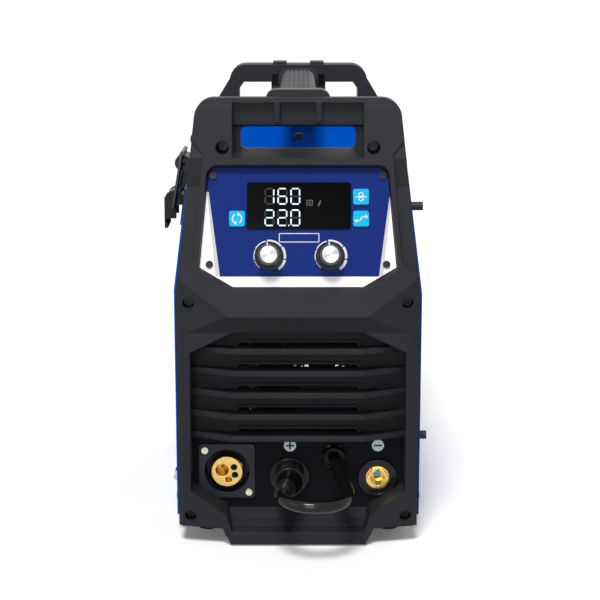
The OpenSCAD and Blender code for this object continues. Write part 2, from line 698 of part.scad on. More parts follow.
module euro_body() color("#d9ab45") difference() {
    union() {
        turned_y(euro_x, 33.5, euro_z) polygon([[0, 0], [euro_r - 1.6, 0], [euro_r, 1.6], [euro_r, 44],
            [12, 44], [12, 52], [0, 52]]);
        // guide that leads the wire in from the feeder
        rod_y(5, 84, 124, torch_x, torch_z, $fn = 32);
    }
    rod_y(torch_bore_r, 30, 80, torch_x, torch_z);
    rod_y(1.4, 70, 130, torch_x, torch_z, $fn = 24);
    rod_y(3, 30, 60, euro_x + 1.5, euro_z - 7.5);
    for (p = contact_at) rod_y(3.1, 30, 60, euro_x + p[0], euro_z + p[1]);
}

module euro_contacts() color("#1b1b1d") for (p = contact_at) difference() {
    rod_y(3, 34.2, 60, euro_x + p[0], euro_z + p[1], $fn = 28);
    rod_y(1.5, 33, 48, euro_x + p[0], euro_z + p[1], $fn = 24);
}

module euro_screws() color("#cfc9a5") for (p = euro_screw_at) difference() {
    union() {
        rod_y(3.2, conn_y - 4.6, conn_y - 3, p[0], p[1], $fn = 28);
        rod_y(1.5, conn_y - 3.1, plate_y + 5, p[0], p[1], $fn = 24);
    }
    for (a = [0, 90]) translate([p[0], conn_y - 4.6, p[1]]) rotate([0, a, 0]) cube([4.4, 1.6, 0.9], center = true);
}

module socket_housings() color("#191a1d") for (p = [plus_at, minus_at]) difference() {
    union() {
        rod_y(socket_r, conn_y - 3.5, conn_y, p[0], p[1]);
        rod_y(14.1, conn_y - 1, 60, p[0], p[1]);
    }
    rod_y(socket_r - 2.4, conn_y - 5, conn_y - 2.2, p[0], p[1]);
    rod_y(11.2, conn_y - 5, 70, p[0], p[1]);
}

module socket_inserts() color("#c99a3e") for (p = [plus_at, minus_at]) difference() {
    union() {
        rod_y(11, conn_y - 1.5, 66, p[0], p[1]);
        translate([p[0], conn_y - 1.4, p[1]]) rotate([90, 0, 0]) linear_extrude(2.6) circle(r = 10.6, $fn = 6);
        rod_y(5, 65, 76, p[0], p[1]);
    }
    rod_y(socket_bore_r, conn_y - 6, 50, p[0], p[1]);
    rod_y(5.4, 49, 60, p[0], p[1]);
    block(p[0] - 1.6, p[0] + 1.6, conn_y - 6, 50, p[1], p[1] + socket_bore_r + 2);
}

module socket_stop() color("#7cc4d8") rod_y(3.7, 50, 60, minus_at[0], minus_at[1]);

module cable_gland() color("#151517") difference() {
    union() {
        translate([gland_at[0], conn_y, gland_at[1]]) rotate([90, 0, 0]) linear_extrude(5) circle(r = 12.5, $fn = 6);
        turned_y(gland_at[0], 26, gland_at[1]) polygon([[0, 0], [9.6, 0], [11, 2], [11, 8], [0, 8]]);
        rod_y(8, conn_y - 1, 52, gland_at[0], gland_at[1]);
        translate([gland_at[0], plate_y + 5, gland_at[1]]) rotate([90, 0, 0]) linear_extrude(5) circle(r = 12, $fn = 6);
    }
    rod_y(8.4, 20, 29, gland_at[0], gland_at[1]);
    rod_y(lead_d / 2 + 0.3, 20, 44, gland_at[0], gland_at[1]);
    rod_y(4.4, 40, 60, gland_at[0], gland_at[1]);
}

boot_y = 18;
module polarity_plug() color("#121214") {
    difference() {
        union() {
            rod_y(socket_bore_r - 0.08, conn_y - 4.3, 49.6, plus_at[0], plus_at[1]);
            rod_y(14, boot_y, conn_y - 4.2, plus_at[0], plus_at[1]);
        }
        for (a = [0:30:330]) translate([plus_at[0] + 14.6 * cos(a), 20, plus_at[1] + 14.6 * sin(a)])
            rotate([-90, 0, 0]) cylinder(r = 1.2, h = 11, $fn = 16);
    }
    translate([plus_at[0], boot_y + 2, plus_at[1]]) rotate([87, 0, -7.5]) {
        cylinder(r1 = 12.8, r2 = 8.6, h = 22);
        cylinder(r = 7.4, h = 45);
        for (h = [24, 29, 34, 39]) translate([0, 0, h]) cylinder(r = 8.6 - (h - 24) * 0.04, h = 2.6);
    }
}

// centre line of the lead from the gland to the tail of the plug
lead_points = [
    [33.4, 44, 76], [33.4, 36, 76], [33.4, 29, 76], [34, 22, 74.5], [35.5, 15, 71.8], [37.5, 8, 68.9],
    [39.7, 1, 66.1], [42, -6, 63.5], [43.8, -13, 61.4], [44.8, -20, 59.7], [44.6, -27, 58.5],
    [43.3, -33.8, 57.7], [40.4, -40.2, 57.2], [36.1, -45.8, 57], [30.6, -50.2, 57], [24.1, -53.2, 57.3],
    [17.3, -54.8, 57.6], [10.3, -55, 57.9], [3.9, -53.9, 58.1], [-2, -51.2, 58.4], [-7.2, -47.2, 58.7],
    [-11.3, -42.1, 58.9], [-13.9, -36.4, 58.8], [-14.66, -30.5, 58.47], [-13.87, -24.55, 58.16]];
lead_sides = 12;

module polarity_lead() color("#0d0d0f") {
    n = len(lead_points);
    pts = [for (i = [0:n - 1]) let (
        p = lead_points[i],
        t = i == 0 ? [0, -1, 0] : i == n - 1 ? plug_way : unit(lead_points[i + 1] - lead_points[i - 1]),
        a = unit(cross(t, [0.3, 0.2, 1])),
        b = cross(t, a))
        for (k = [0:lead_sides - 1]) p + lead_d / 2 * (cos(k * 360 / lead_sides) * a + sin(k * 360 / lead_sides) * b)];
    polyhedron(points = pts, faces = concat(
        [[for (k = [0:lead_sides - 1]) k]],
        [for (i = [0:n - 2], k = [0:lead_sides - 1])
            let (k1 = (k + 1) % lead_sides, o = i * lead_sides)
            [o + k, o + lead_sides + k, o + lead_sides + k1, o + k1]],
        [[for (k = [lead_sides - 1:-1:0]) (n - 1) * lead_sides + k]]));
}

function unit(v) = v / norm(v);
plug_way = unit([5.87, 44.5, -2.36]);

// ---- rear ----------------------------------------------------------------------------------

rear_screws = [for (x = [-1, 1], z = [27, 200]) [x * 98.5, z]];
fan_x = 36;
fan_z = 112;
panel_y = case_back + 4.3;
switch_x = 40;
switch_z = 285;
mains_at = [75, 216];
gas_at = [0, 216];

function rear_outline() = mirrored(concat(
    [[bezel_half, skirt_z], [bezel_half, shoulder_z + 6], [head_half + 4.5, case_h - 6], [87.6, 381]],
    arc(59, hoop_h - 17, 17, 8, 90, 8)));

module rear_bezel() color("#26272b") difference() {
    union() {
        difference() {
            along_y(hood_y, rear_y) polygon(rear_outline());
            along_y(case_back - 1, rear_y + 1) polygon(case_outline(20, 32));
            along_y(case_back + 4, rear_y + 1) polygon(case_outline(9, 24));
            // hand opening of the hoop
            along_y(hood_y - 1, rear_y + 1) polygon(mirrored([[66, case_h + 1], [66, 388], [60, 396]]));
        }
        along_y(case_back - 16, case_back + 2) difference() {
            polygon(case_outline(sheet + seat, 18));
            polygon(case_outline(sheet + seat + 2.6, 17));
        }
        for (p = rear_screws) rod_y(8.5, hood_y + 1, rear_y - 1, p[0], p[1]);
        // socket of the grip and its two ears
        along_y(hood_y + 0.5, rear_y - 4) translate([0, 396.5]) round_rect(60, 33, 4);
        for (x = [-20.5, 20.5]) block(x - 7.5, x + 7.5, hood_y + 1, rear_y - 10, hoop_h - 4, hoop_h + 3);
    }
    for (x = [-25, 25]) block(x - 3.6, x + 3.6, hood_y - 1, hood_y + 12, 392, 404);
    for (p = rear_screws) {
        rod_y(5.2, rear_y - 6, rear_y + 1, p[0], p[1]);
        rod_y(2.3, case_back - 18, rear_y + 1, p[0], p[1]);
    }
}

module rear_panel() color("#2c2f34") difference() {
    along_y(panel_y, panel_y + sheet) polygon(case_outline(9.4, 24.4));
    rod_y(fan_r, panel_y - 1, panel_y + 3, fan_x, fan_z);
    for (x = [-1, 1], z = [-1, 1]) rod_y(2.2, panel_y - 1, panel_y + 3, fan_x + x * 52.5, fan_z + z * 52.5);
    block(switch_x - 11, switch_x + 11, panel_y - 1, panel_y + 3, switch_z - 14, switch_z + 14);
    rod_y(9.4, panel_y - 1, panel_y + 3, mains_at[0], mains_at[1]);
    rod_y(5.4, panel_y - 1, panel_y + 3, gas_at[0], gas_at[1]);
    for (p = rear_screws) rod_y(9, panel_y - 1, panel_y + 3, p[0], p[1]);
    for (z = [110:24:254]) along_y(panel_y - 1, panel_y + 3) translate([-72, z]) round_rect(34, 5, 2.4);
}

fan_y0 = panel_y - 26;
module fan_frame() color("#202124") difference() {
    union() {
        difference() {
            along_y(fan_y0, panel_y) translate([fan_x, fan_z]) round_rect(114.6, 114.6, 6);
            rod_y(fan_r, fan_y0 - 1, panel_y + 1, fan_x, fan_z);
        }
        rod_y(20, fan_y0, fan_y0 + 4, fan_x, fan_z);
        for (a = [45:90:315]) translate([fan_x, fan_y0, fan_z]) rotate([0, a, 0]) block(15, 56, 0.5, 3.5, -2, 2);
    }
    rod_y(2 + running, fan_y0 - 1, fan_y0 + 6, fan_x, fan_z);
    for (x = [-1, 1], z = [-1, 1]) rod_y(2.2, fan_y0 - 1, panel_y + 1, fan_x + x * 52.5, fan_z + z * 52.5);
}

module fan_rotor() color("#2b2c30") {
    difference() {
        rod_y(19, fan_y0 + 4.6, fan_y0 + 22, fan_x, fan_z);
        rod_y(16, fan_y0 + 4, fan_y0 + 19, fan_x, fan_z);
    }
    rod_y(2, fan_y0, fan_y0 + 20, fan_x, fan_z);
    intersection() {
        translate([fan_x, fan_y0 + 13.5, fan_z]) for (a = [0:6]) rotate([0, a * 360 / 7, 0])
            translate([17.5, 0, 0]) rotate([38, 0, 0]) block(0, 40, -1, 1, -15, 15);
        rod_y(fan_r - 1.5, fan_y0 + 5, fan_y0 + 22, fan_x, fan_z);
    }
}

module fan_guard() color("#9ea2a8") {
    for (r = [14, 24, 34, 44, 55]) difference() {
        rod_y(r + 1, panel_y + sheet, panel_y + sheet + 2, fan_x, fan_z);
        rod_y(r - 1, panel_y, panel_y + sheet + 3, fan_x, fan_z);
    }
    for (a = [45:90:315]) translate([fan_x, panel_y + sheet, fan_z]) rotate([0, a, 0]) {
        block(13.5, 71, 0, 2, -1.2, 1.2);
        difference() {
            translate([74.2, 0, 0]) rotate([-90, 0, 0]) cylinder(r = 5, h = 2, $fn = 28);
            translate([74.2, -1, 0]) rotate([-90, 0, 0]) cylinder(r = 2.2, h = 4, $fn = 20);
        }
    }
}

switch_tilt = 12;
switch_y = panel_y + 2;
module switch_body() color("#161719") difference() {
    union() {
        block(switch_x - 13.5, switch_x + 13.5, panel_y + sheet, panel_y + sheet + 2.4, switch_z - 16.5, switch_z + 16.5);
        block(switch_x - 10.7, switch_x + 10.7, panel_y - 22, panel_y + sheet + 1, switch_z - 13.7, switch_z + 13.7);
    }
    block(switch_x - 9, switch_x + 9, panel_y - 10, panel_y + 8, switch_z - 12.4, switch_z + 12.4);
    rod_x(1.5 + running, switch_x - 10.4, switch_x + 10.4, switch_y, switch_z, $fn = 24);
}

module switch_rocker() color("#b3202a") {
    translate([switch_x, switch_y, switch_z]) rotate([switch_tilt, 0, 0]) difference() {
        translate([8.6, 0, 0]) rotate([0, -90, 0]) linear_extrude(17.2)
            polygon([[-10.6, 3.4], [0, 5.2], [10.6, 3.4], [10.6, 0.6], [3, -4], [-3, -4], [-10.6, 0.6]]);
    }
    rod_x(1.5, switch_x - 10.2, switch_x + 10.2, switch_y, switch_z, $fn = 24);
}

module mains_gland() color("#151517") difference() {
    union() {
        translate([mains_at[0], panel_y, mains_at[1]]) rotate([90, 0, 0]) linear_extrude(5) circle(r = 13, $fn = 6);
        rod_y(9.1, panel_y - 12, panel_y + 14, mains_at[0], mains_at[1]);
        translate([mains_at[0], panel_y + sheet + 6, mains_at[1]]) rotate([90, 0, 0]) linear_extrude(6)
            circle(r = 14, $fn = 6);
        turned_y(mains_at[0], panel_y + 12, mains_at[1]) polygon([[0, 0], [12, 0], [12, 10], [8.4, 18],
            [7.4, overall_depth - panel_y - 12], [0, overall_depth - panel_y - 12]]);
    }
    rod_y(5.2, panel_y - 20, overall_depth + 1, mains_at[0], mains_at[1]);
}

module gas_inlet() color("#cfa04a") difference() {
    union() {
        rod_y(5.2, panel_y - 10, panel_y + 8, gas_at[0], gas_at[1]);
        translate([gas_at[0], panel_y + sheet + 6, gas_at[1]]) rotate([90, 0, 0]) linear_extrude(6)
            circle(r = 9, $fn = 6);
        rod_y(4, panel_y + 6, panel_y + 40, gas_at[0], gas_at[1]);
    }
    rod_y(2, panel_y - 11, panel_y + 41, gas_at[0], gas_at[1]);
}

module gas_valve() color("#8f9399") {
    difference() {
        block(-14, 14, panel_y - 44, panel_y - 1.2, gas_at[1] - 12, gas_at[1] + 12);
        rod_y(5.5, panel_y - 11, panel_y, gas_at[0], gas_at[1]);
    }
    translate([0, panel_y - 24, gas_at[1] + 11]) cylinder(r = 11, h = 26);
    block(-13, 13, panel_y - 36, panel_y - 12, gas_at[1] + 16, gas_at[1] + 34);
    block(-44.7, -13, panel_y - 30, panel_y - 14, gas_at[1] - 10, gas_at[1] - 8);
}

// ---- wire bay and power stage --------------------------------------------------------------

wall_x = -46;
roll_y = 150;
roll_r = 13.8;
roll_z = torch_z - 14;
press_r = 10.8;
press_z = torch_z + 11;
arm_y = 122;
arm_z = 92;
hub_y = 288;
hub_z = 178;

module centre_partition() color("#8d9298") difference() {
    union() {
        block(wall_x, wall_x + sheet, 70, case_back - 20, tray_z + sheet, 338);
        block(wall_x, wall_x + 14, 70, case_back - 20, tray_z + sheet, tray_z + 2 * sheet);
        // spindle of the spool hub
        rod_x(14, wall_x - 3, wall_x + 1, hub_y, hub_z);
        rod_x(6, wall_x - 58, wall_x + 1, hub_y, hub_z);
    }
    rod_x(26, wall_x - 1, wall_x + 2, roll_y, roll_z);
    for (y = [110, 190], z = [34, 132]) rod_x(2.2, wall_x - 1, wall_x + 2, y, z);
    block(wall_x - 1, wall_x + 16, 160, 240, 318, 345);
}

module feeder_plate() color("#3b3f45") difference() {
    union() {
        along_x(wall_x - 8, wall_x) translate([roll_y, 83]) round_rect(100, 118, 8);
        // inlet and outlet guides for the wire
        for (y = [104, 172]) block(torch_x - 6, wall_x - 7, y, y + 22, torch_z - 6, torch_z + 6);
        // pivot of the pressure arm
        rod_x(4, wall_x - 34, wall_x - 7, arm_y, arm_z);
        rod_x(7, wall_x - 12, wall_x - 7, arm_y, arm_z);
    }
    rod_x(5.3, wall_x - 9, wall_x + 1, roll_y, roll_z);
    rod_y(5.3, 103, 127, torch_x, torch_z);
    rod_y(1.4, 100, 200, torch_x, torch_z, $fn = 24);
    for (y = [110, 190], z = [34, 132]) rod_x(2.2, wall_x - 9, wall_x + 1, y, z);
}

module feed_motor() color("#5d6168") difference() {
    union() {
        rod_x(25.6, wall_x, -20, roll_y, roll_z);
        rod_x(28, wall_x + sheet + 0.3, -22, roll_y, roll_z);
        rod_x(23, -21, 46, roll_y, roll_z);
        rod_x(6, 45, 50, roll_y, roll_z);
    }
    rod_x(5 + running, wall_x - 1, -26, roll_y, roll_z);
}

module drive_roll() color("#a9adb3") difference() {
    union() {
        rod_x(roll_r, torch_x - 6, torch_x + 6, roll_y, roll_z);
        rod_x(9, torch_x + 5, wall_x - 9, roll_y, roll_z);
        rod_x(5, torch_x - 12, -27, roll_y, roll_z);
        rod_x(7.5, torch_x - 11, torch_x - 5, roll_y, roll_z);
    }
    for (x = [-3, 3]) translate([torch_x + x * 0, roll_y, roll_z]) rotate([0, 90, 0]) rotate_extrude()
        polygon([[roll_r + 1, -1.2 + x], [roll_r + 1, 1.2 + x], [roll_r - 0.6, x]]);
}

module pressure_arm() color("#26282c") difference() {
    union() {
        rod_x(8, torch_x - 8, wall_x - 12.5, arm_y, arm_z);
        // two cheeks that straddle the pressure roll
        for (x = [torch_x - 8, torch_x + 5.2]) {
            block(x, x + 2.8, arm_y, 186, arm_z + 1, arm_z + 8);
            block(x, x + 2.8, roll_y - 8, roll_y + 8, press_z - 6, arm_z + 6);
        }
        block(torch_x - 8, torch_x + 8, 166, 188, arm_z + 1, arm_z + 8);
        // axle of the pressure roll
        rod_x(3, torch_x - 8, torch_x + 8, roll_y, press_z, $fn = 28);
        // stud of the tension knob
        translate([torch_x, 178, arm_z + 7]) cylinder(r = 3, h = 26, $fn = 28);
    }
    rod_x(4 + running, torch_x - 20, wall_x, arm_y, arm_z);
}

module pressure_roll() color("#b6babf") difference() {
    rod_x(press_r, torch_x - 4.6, torch_x + 4.6, roll_y, press_z);
    rod_x(3 + running, torch_x - 6, torch_x + 6, roll_y, press_z, $fn = 28);
}

module tension_knob() color("#c3202c") difference() {
    union() {
        translate([torch_x, 178, arm_z + 8.5]) cylinder(r = 6, h = 12);
        translate([torch_x, 178, arm_z + 18]) cylinder(r = 10, h = 18);
    }
    translate([torch_x, 178, arm_z + 8]) cylinder(r = 3 + running, h = 26, $fn = 28);
    for (a = [0:40:320]) translate([torch_x + 11 * cos(a), 178 + 11 * sin(a), arm_z + 17])
        cylinder(r = 2.2, h = 21, $fn = 20);
}

module spool_hub() color("#1e1f22") difference() {
    union() {
        rod_x(24.5, wall_x - 54, wall_x - 3.6, hub_y, hub_z);
        rod_x(34, wall_x - 9, wall_x - 3.6, hub_y, hub_z);
        // key that drives the spool
        rod_x(4, wall_x - 18, wall_x - 8, hub_y + 28, hub_z);
    }
    rod_x(6 + running, wall_x - 60, wall_x, hub_y, hub_z);
    rod_x(20, wall_x - 56, wall_x - 22, hub_y, hub_z);
    for (a = [0:60:300]) translate([0, hub_y, hub_z]) rotate([a, 0, 0]) block(wall_x - 56, wall_x - 34, 19, 26, -1.5, 1.5);
}

board_z = 170;
module power_board() color("#1f6b3c") {
    block(wall_x + sheet, 100, 90, 352, board_z, board_z + 1.8);
    for (x = [20, 50, 80]) color("#20242c") translate([x, 120, board_z + 1.7]) cylinder(r = 12.5, h = 45);
    for (x = [-30, -10]) block(x, x + 12, 110, 145, board_z + 1.7, board_z + 22);
    block(-38, 30, 200, 300, board_z + 1.7, board_z + 4);
    for (y = [205, 235, 265]) block(-30, 20, y, y + 1.6, board_z + 3.9, board_z + 44);
    block(50, 90, 200, 250, board_z + 1.7, board_z + 26);
}

module heat_sinks() color("#b4b8bd") for (x0 = [-34, 36]) {
    block(x0, x0 + 60, 212, 346, board_z - 10, board_z);
    for (i = [0:9]) block(x0 + i * 6.4, x0 + i * 6.4 + 2.2, 212, 346, board_z - 62, board_z - 9.9);
}

module power_magnetics() color("#6a4a2c") {
    // transformer core and winding
    difference() {
        block(0, 64, 226, 286, tray_z + sheet, 92);
        block(12, 24, 225, 287, tray_z + 16, 78);
        block(40, 52, 225, 287, tray_z + 16, 78);
    }
    block(12, 52, 220, 292, tray_z + 19, 75);
    // output reactor
    difference() {
        translate([78, 330, tray_z + sheet]) cylinder(r = 24, h = 34);
        translate([78, 330, tray_z + sheet - 1]) cylinder(r = 9, h = 40);
    }
}

place() front_bezel();
place() rear_bezel();
place() base_tray();
place() case_cover();
place() side_door();
place() door_hinges();
place() latch_keepers();
place() latch_bases();
place() latch_lever(latch_y[0]);  // latch_lever_front
place() latch_lever(latch_y[1]);  // latch_lever_rear
place() latch_bail(latch_y[0]);  // latch_bail_front
place() latch_bail(latch_y[1]);  // latch_bail_rear
place() rubber_feet();
place() bezel_screws();
place() case_studs();
place() handle_grip();
place() handle_mount();
place() panel_plate();
place() panel_screws();
place() display_lens();
place() display_board();
place() button(buttons[0]);  // button_process
place() button(buttons[1]);  // button_wire_feed
place() button(buttons[2]);  // button_trigger_mode
place() knob(knob_at[0]);  // knob_left
place() knob(knob_at[1]);  // knob_right
place() knob_cap(knob_at[0]);  // knob_cap_left
place() knob_cap(knob_at[1]);  // knob_cap_right
place() potentiometers();
place() connector_plate();
place() euro_flange();
place() euro_body();
place() euro_contacts();
place() euro_screws();
place() socket_housings();
place() socket_inserts();
place() socket_stop();
place() cable_gland();
place() polarity_plug();
place() polarity_lead();
place() rear_panel();
place() fan_guard();
place() fan_frame();
place() fan_rotor();
place() switch_body();
place() switch_rocker();
place() mains_gland();
place() gas_inlet();
place() centre_partition();
place() feeder_plate();
place() feed_motor();
place() drive_roll();
place() pressure_arm();
place() pressure_roll();
place() tension_knob();
place() spool_hub();
place() power_board();
place() heat_sinks();
place() power_magnetics();
place() gas_valve();
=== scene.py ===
import math

import bmesh
import bpy
from mathutils import Matrix, Vector


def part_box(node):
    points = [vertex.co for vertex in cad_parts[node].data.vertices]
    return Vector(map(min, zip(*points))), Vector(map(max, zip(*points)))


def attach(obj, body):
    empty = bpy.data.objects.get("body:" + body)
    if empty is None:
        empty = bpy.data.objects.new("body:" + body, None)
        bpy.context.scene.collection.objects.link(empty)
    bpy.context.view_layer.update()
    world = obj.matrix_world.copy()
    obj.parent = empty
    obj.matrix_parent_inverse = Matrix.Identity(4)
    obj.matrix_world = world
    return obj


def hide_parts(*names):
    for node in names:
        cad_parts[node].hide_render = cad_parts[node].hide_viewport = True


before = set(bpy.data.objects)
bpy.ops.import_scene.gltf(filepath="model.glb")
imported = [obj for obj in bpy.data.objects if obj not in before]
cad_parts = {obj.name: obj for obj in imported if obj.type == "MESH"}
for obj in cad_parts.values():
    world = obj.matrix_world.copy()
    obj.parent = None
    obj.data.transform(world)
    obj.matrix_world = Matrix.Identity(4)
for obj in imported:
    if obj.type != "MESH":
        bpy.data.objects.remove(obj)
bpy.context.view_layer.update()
scene = bpy.context.scene
scene.view_settings.view_transform = "Standard"

eye = {"place": (0.0018, -1.58, 0.519), "tilt": 78, "lens": 93.6, "sensor": 36}
cameraData = bpy.data.cameras.new("frontCamera")
cameraData.lens = eye["lens"]
cameraData.sensor_width = eye["sensor"]
camera = bpy.data.objects.new("frontCamera", cameraData)
camera.location = eye["place"]
camera.rotation_euler = (math.radians(eye["tilt"]), 0, 0)
scene.collection.objects.link(camera)
scene.camera = camera


def addNode(tree, kind, inputs=None, **settings):
    node = tree.nodes.new(kind)
    for name, value in settings.items():
        setattr(node, name, value)
    for name, value in (inputs or {}).items():
        if isinstance(value, bpy.types.NodeSocket):
            tree.links.new(value, node.inputs[name])
        else:
            node.inputs[name].default_value = value
    return node


def compute(tree, operation, first, second=0.0):
    return addNode(tree, "ShaderNodeMath", {0: first, 1: second}, operation=operation).outputs[0]


def vectorMath(tree, operation, *terms):
    return addNode(tree, "ShaderNodeVectorMath", dict(enumerate(terms)), operation=operation)


def blendColour(tree, factor, first, second):
    return addNode(tree, "ShaderNodeMix", {0: factor, 6: first, 7: second}, data_type="RGBA").outputs[2]


def remap(tree, value, low, high, start=0.3, end=0.7):
    spots = {"Value": value, "From Min": start, "From Max": end, "To Min": low, "To Max": high}
    return addNode(tree, "ShaderNodeMapRange", spots).outputs[0]


def addNoise(tree, place, scale, detail):
    return addNode(tree, "ShaderNodeTexNoise", {"Vector": place, "Scale": scale, "Detail": detail}).outputs[0]


def solid(colour):
    return (*colour, 1.0)


# every finish: two tones that drift into each other, a fine grain that also makes the relief
finishes = {
    "texturedShell": {"colour": (0.013, 0.0133, 0.0168), "shade": (0.0225, 0.023, 0.0275),
                      "rough": (0.42, 0.56), "specular": 0.12, "grain": 1500, "relief": 0.42, "edge": 0.0013,
                      "on": ["front_bezel", "rear_bezel"]},
    "blueEnamel": {"colour": (0.0, 0.07, 0.46), "shade": (0.0, 0.086, 0.54), "rough": (0.42, 0.5),
                   "specular": 0.0, "grain": 420, "relief": 0.10, "edge": 0.0008,
                   "on": ["case_cover", "side_door"]},
    "trayEnamel": {"colour": (0.045, 0.048, 0.053), "shade": (0.06, 0.063, 0.07), "rough": (0.38, 0.5),
                   "specular": 0.4, "grain": 700, "relief": 0.14, "edge": 0.0006,
                   "on": ["base_tray", "rear_panel"]},
    "zincPlate": {"colour": (0.42, 0.43, 0.43), "shade": (0.62, 0.62, 0.6), "rough": (0.26, 0.42),
                  "metal": 1.0, "grain": 500, "stretch": (1, 1, 0.12), "relief": 0.1, "edge": 0.0003,
                  "on": ["door_hinges", "fan_guard", "centre_partition", "drive_roll", "pressure_roll"]},
    "darkScrew": {"colour": (0.014, 0.014, 0.015), "shade": (0.034, 0.034, 0.036), "rough": (0.3, 0.44),
                  "metal": 1.0, "grain": 800, "relief": 0.1, "edge": 0.0003,
                  "on": ["panel_screws", "bezel_screws"]},
    "satinBlack": {"colour": (0.008, 0.0083, 0.009), "shade": (0.013, 0.0135, 0.0145),
                   "rough": (0.32, 0.46), "specular": 0.24, "grain": 1100, "relief": 0.14, "edge": 0.0006,
                   "on": ["latch_keepers", "latch_bases", "handle_mount", "potentiometers", "switch_body",
                          "mains_gland", "feeder_plate", "spool_hub", "case_studs", "euro_contacts"]},
    "latchRubber": {"colour": (0.007, 0.007, 0.008), "shade": (0.012, 0.012, 0.013), "rough": (0.5, 0.66),
                    "specular": 0.2, "grain": 1300, "relief": 0.2, "edge": 0.0006,
                    "on": ["rubber_feet", "latch_lever_front", "latch_lever_rear"]},
    "bailWire": {"colour": (0.03, 0.031, 0.034), "shade": (0.07, 0.072, 0.076), "rough": (0.28, 0.4),
                 "metal": 1.0, "grain": 900, "relief": 0.08, "on": ["latch_bail_front", "latch_bail_rear"]},
    "softGrip": {"colour": (0.044, 0.048, 0.053), "shade": (0.062, 0.066, 0.072), "rough": (0.5, 0.62),
                 "specular": 0.05, "grain": 1400, "relief": 0.18, "edge": 0.0008, "on": ["handle_grip"]},
    "displayGlass": {"colour": (0.0012, 0.0012, 0.0016), "shade": (0.0018, 0.0018, 0.0022),
                     "rough": (0.1, 0.14), "specular": 0.03, "grain": 300, "relief": 0.02, "edge": 0.0005,
                     "on": ["display_lens"]},
    "boardGreen": {"colour": (0.006, 0.07, 0.028), "shade": (0.012, 0.13, 0.05), "rough": (0.28, 0.5),
                   "specular": 0.5, "grain": 260, "stretch": (1, 0.2, 1), "relief": 0.2,
                   "on": ["display_board", "power_board"]},
    "keyCyan": {"colour": (0.002, 0.42, 0.74), "shade": (0.004, 0.46, 0.8), "rough": (0.34, 0.44),
                "specular": 0.1, "grain": 900, "relief": 0.06, "edge": 0.0007,
                "on": ["button_process", "button_wire_feed", "button_trigger_mode"]},
    "knobBlack": {"colour": (0.005, 0.0055, 0.007), "shade": (0.009, 0.0095, 0.0115), "rough": (0.2, 0.3),
                  "specular": 0.4, "grain": 800, "relief": 0.05, "edge": 0.0007,
                  "on": ["knob_left", "knob_right"]},
    "baySheet": {"colour": (0.0035, 0.004, 0.006), "shade": (0.006, 0.0066, 0.0095), "rough": (0.44, 0.58),
                 "specular": 0.06, "grain": 1200, "relief": 0.22, "edge": 0.0005, "on": ["connector_plate"]},
    "navyMoulding": {"colour": (0.009, 0.012, 0.021), "shade": (0.013, 0.017, 0.028), "rough": (0.3, 0.42),
                     "specular": 0.25, "grain": 900, "relief": 0.08, "edge": 0.0006, "on": ["euro_flange"]},
    "polishedBrass": {"colour": (0.66, 0.42, 0.12), "shade": (0.86, 0.62, 0.24), "rough": (0.14, 0.26),
                      "metal": 1.0, "grain": 420, "stretch": (1, 0.2, 1), "relief": 0.05, "edge": 0.0006,
                      "on": ["euro_body", "socket_inserts", "gas_inlet", "gas_valve"]},
    "yellowZinc": {"colour": (0.56, 0.53, 0.42), "shade": (0.7, 0.68, 0.58), "rough": (0.24, 0.38),
                   "metal": 1.0, "grain": 700, "relief": 0.08, "edge": 0.0003, "on": ["euro_screws"]},
    "glossBlack": {"colour": (0.002, 0.0021, 0.0027), "shade": (0.0035, 0.0037, 0.0047),
                   "rough": (0.12, 0.2), "specular": 0.3, "grain": 600, "relief": 0.05, "edge": 0.0007,
                   "on": ["socket_housings", "cable_gland", "polarity_plug"]},
    "socketBlue": {"colour": (0.12, 0.5, 0.66), "shade": (0.15, 0.56, 0.72), "rough": (0.3, 0.42),
                   "specular": 0.4, "grain": 900, "relief": 0.06, "edge": 0.0003, "on": ["socket_stop"]},
    "leadRubber": {"colour": (0.0025, 0.0025, 0.003), "shade": (0.0045, 0.0045, 0.005),
                   "rough": (0.16, 0.24), "specular": 0.26, "grain": 700, "relief": 0.06,
                   "on": ["polarity_lead"]},
    "fanBlack": {"colour": (0.01, 0.01, 0.011), "shade": (0.018, 0.018, 0.02), "rough": (0.36, 0.5),
                 "specular": 0.4, "grain": 900, "relief": 0.1, "edge": 0.0004,
                 "on": ["fan_frame", "fan_rotor"]},
    "rockerRed": {"colour": (0.46, 0.012, 0.014), "shade": (0.56, 0.02, 0.02), "rough": (0.22, 0.32),
                  "specular": 0.5, "grain": 600, "relief": 0.05, "edge": 0.0006,
                  "on": ["switch_rocker", "tension_knob"]},
    "castGrey": {"colour": (0.15, 0.155, 0.16), "shade": (0.23, 0.235, 0.24), "rough": (0.4, 0.56),
                 "metal": 0.6, "grain": 520, "relief": 0.22, "edge": 0.0004,
                 "on": ["feed_motor", "pressure_arm"]},
    # near-black heat sinks: a dark anodised finish, kept this dark as painted shade so the inside seen through
    # the louvres stays dark
    "darkAnodisedAndShade": {"colour": (0.012, 0.012, 0.013), "shade": (0.022, 0.022, 0.024), "rough": (0.4, 0.54),
                     "metal": 0.5, "grain": 500, "stretch": (1, 0.1, 1), "relief": 0.12, "edge": 0.0003,
                     "on": ["heat_sinks"]},
    "windingCopper": {"colour": (0.35, 0.12, 0.045), "shade": (0.55, 0.22, 0.09), "rough": (0.3, 0.44),
                      "metal": 0.8, "grain": 460, "stretch": (0.1, 0.1, 1), "relief": 0.3,
                      "on": ["power_magnetics"]},
}

# what all finishes share: the drift of the tones, how much grain is in them, how deep the grain is
surface = {"drift": 16, "driftDetail": 3, "grainDetail": 2, "grainShare": 0.55, "depth": 0.0002}


